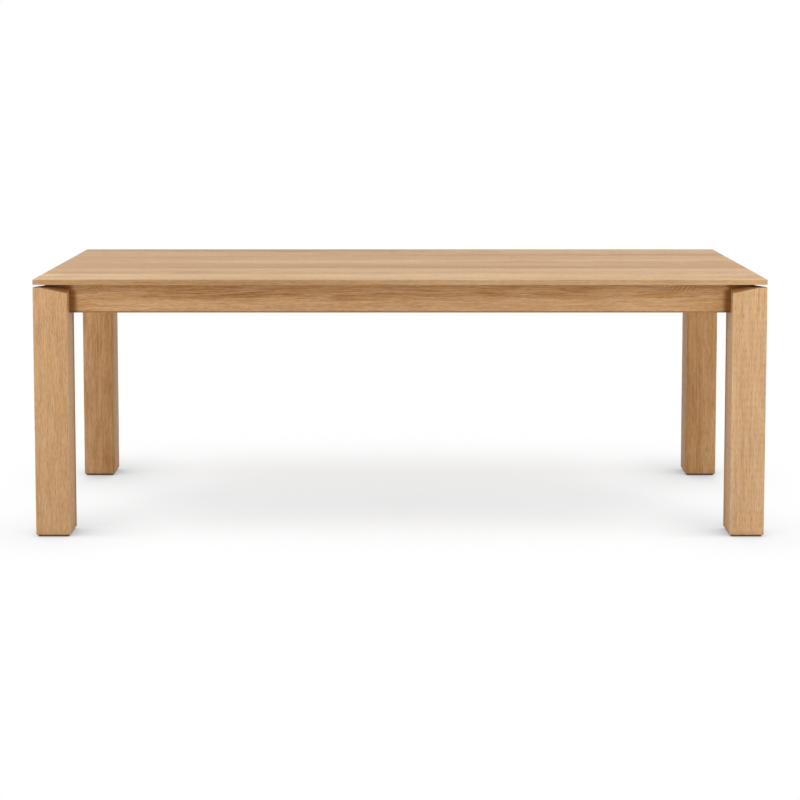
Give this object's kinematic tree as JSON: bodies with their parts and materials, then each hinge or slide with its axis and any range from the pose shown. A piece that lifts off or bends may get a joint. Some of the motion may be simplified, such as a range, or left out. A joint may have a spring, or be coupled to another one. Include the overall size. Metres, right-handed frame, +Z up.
{
  "type": "dining table",
  "caption": "Rectangular oak dining table with a thin plank top flush with square legs, whose sliced heads stand outside a set-back mitred apron frame.",
  "frame": {"origin": "on the floor under the middle of the table", "axes": "+X along the table to its right end, +Y towards its back, +Z up"},
  "size_m": [2.15, 0.88, 0.765],
  "materials": {
    "oak_top": "matt oiled",
    "oak_frame": "matt oiled",
    "oak_leg": "matt oiled",
    "secondary_wood": "planed, unfinished",
    "glide": "moulded, matt",
    "steel": "zinc plated"
  },
  "bodies": {
    "root": {"top_board_1": "oak_top", "top_board_2": "oak_top", "top_board_3": "oak_top", "top_board_4": "oak_top", "top_board_5": "oak_top", "top_board_6": "oak_top", "apron_front": "oak_frame", "apron_right": "oak_frame", "apron_back": "oak_frame", "apron_left": "oak_frame", "leg_front_left": "oak_leg", "leg_front_right": "oak_leg", "leg_back_right": "oak_leg", "leg_back_left": "oak_leg", "corner_block_front_left": "secondary_wood", "corner_block_front_right": "secondary_wood", "corner_block_back_right": "secondary_wood", "corner_block_back_left": "secondary_wood", "cross_rail_1": "secondary_wood", "cross_rail_2": "secondary_wood", "cross_rail_3": "secondary_wood", "tabletop_buttons": "secondary_wood", "mitre_tenons": "secondary_wood", "glide_front_left": "glide", "glide_front_right": "glide", "glide_back_right": "glide", "glide_back_left": "glide", "hanger_bolts": "steel", "bolt_washers": "steel", "bolt_nuts": "steel", "corner_block_screws": "steel", "cross_rail_screws": "steel", "button_screws": "steel"}
  },
  "joints": []
}
